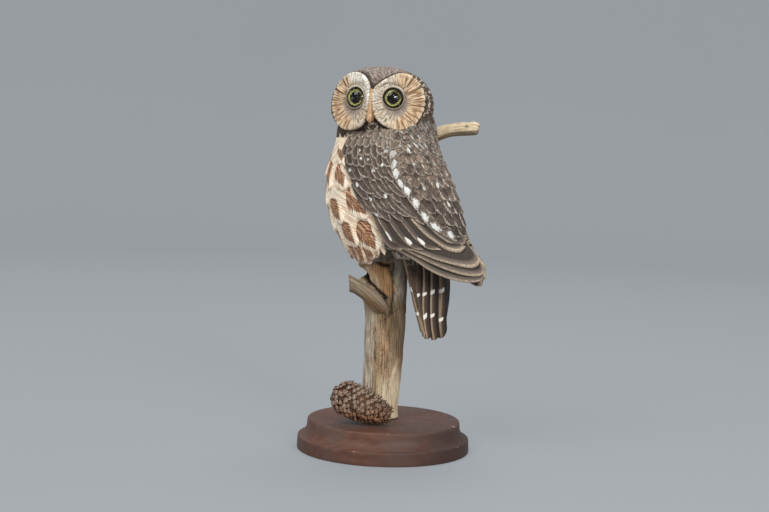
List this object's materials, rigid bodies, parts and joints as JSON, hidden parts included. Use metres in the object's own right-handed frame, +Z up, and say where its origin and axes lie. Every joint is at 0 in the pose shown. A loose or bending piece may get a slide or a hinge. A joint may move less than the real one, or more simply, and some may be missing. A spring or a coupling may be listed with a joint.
{
  "type": "owl carving",
  "caption": "Life-size carved and painted owl in one piece of wood with glass eyes, perched on a driftwood stem over a turned round base with a pine cone.",
  "frame": {"origin": "centre of the underside of the round base", "axes": "+Z up along the perch, +X to the viewer's right and +Y away from the viewer when the owl's face is seen from the front"},
  "size_m": [0.1316, 0.125, 0.2756],
  "materials": {
    "base": "satin reddish dark brown varnish",
    "perch": "bare weathered driftwood, grey to tan",
    "pine_cone": "dry matt cone scales",
    "owl": "matt painted feathers",
    "left_eye": "clear polished glass, yellow-green iris behind",
    "right_eye": "clear polished glass, yellow-green iris behind"
  },
  "bodies": {
    "root": {"base": "base", "perch": "perch", "pine_cone": "pine_cone", "owl": "owl", "left_eye": "left_eye", "right_eye": "right_eye"}
  },
  "joints": []
}
